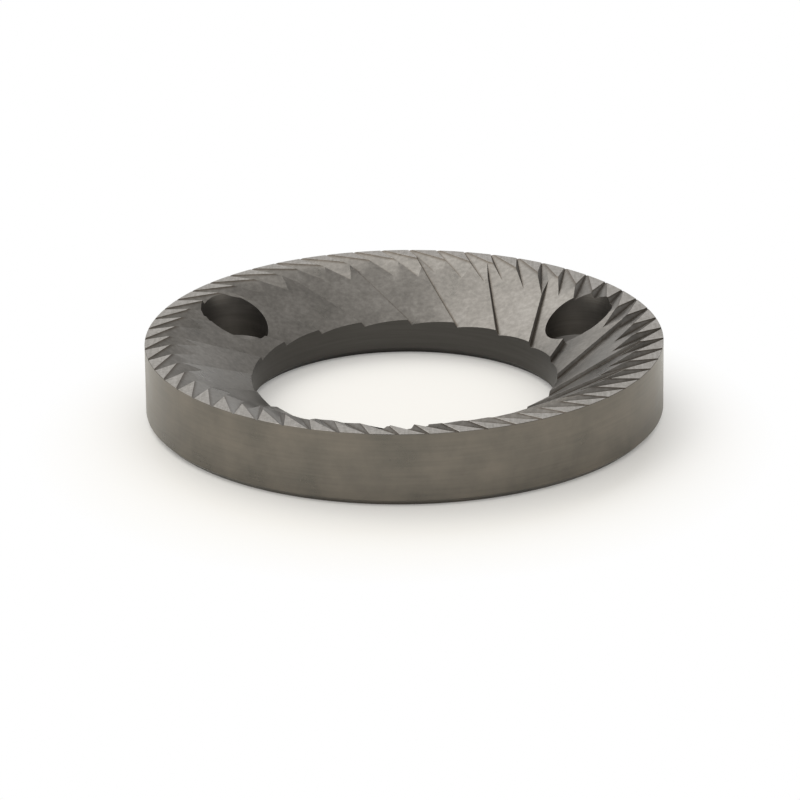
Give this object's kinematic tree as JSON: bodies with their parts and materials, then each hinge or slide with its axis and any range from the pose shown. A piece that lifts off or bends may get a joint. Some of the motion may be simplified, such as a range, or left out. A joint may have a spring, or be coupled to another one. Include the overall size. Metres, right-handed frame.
{
  "type": "coffee grinder burr",
  "caption": "Flat ring grinding burr with coarse breaker steps round a wide bore, fine slanting teeth at the rim and countersunk screw holes.",
  "frame": {"origin": "centre of the ring on its mounting face, the plain side away from the teeth", "axes": "+Z along the ring's axis, out of the toothed side; +X through the bore end of one breaker crest"},
  "size_m": [0.064, 0.064, 0.0093],
  "materials": {
    "ground_steel": "satin"
  },
  "bodies": {
    "root": {"burr": "ground_steel"}
  },
  "joints": []
}
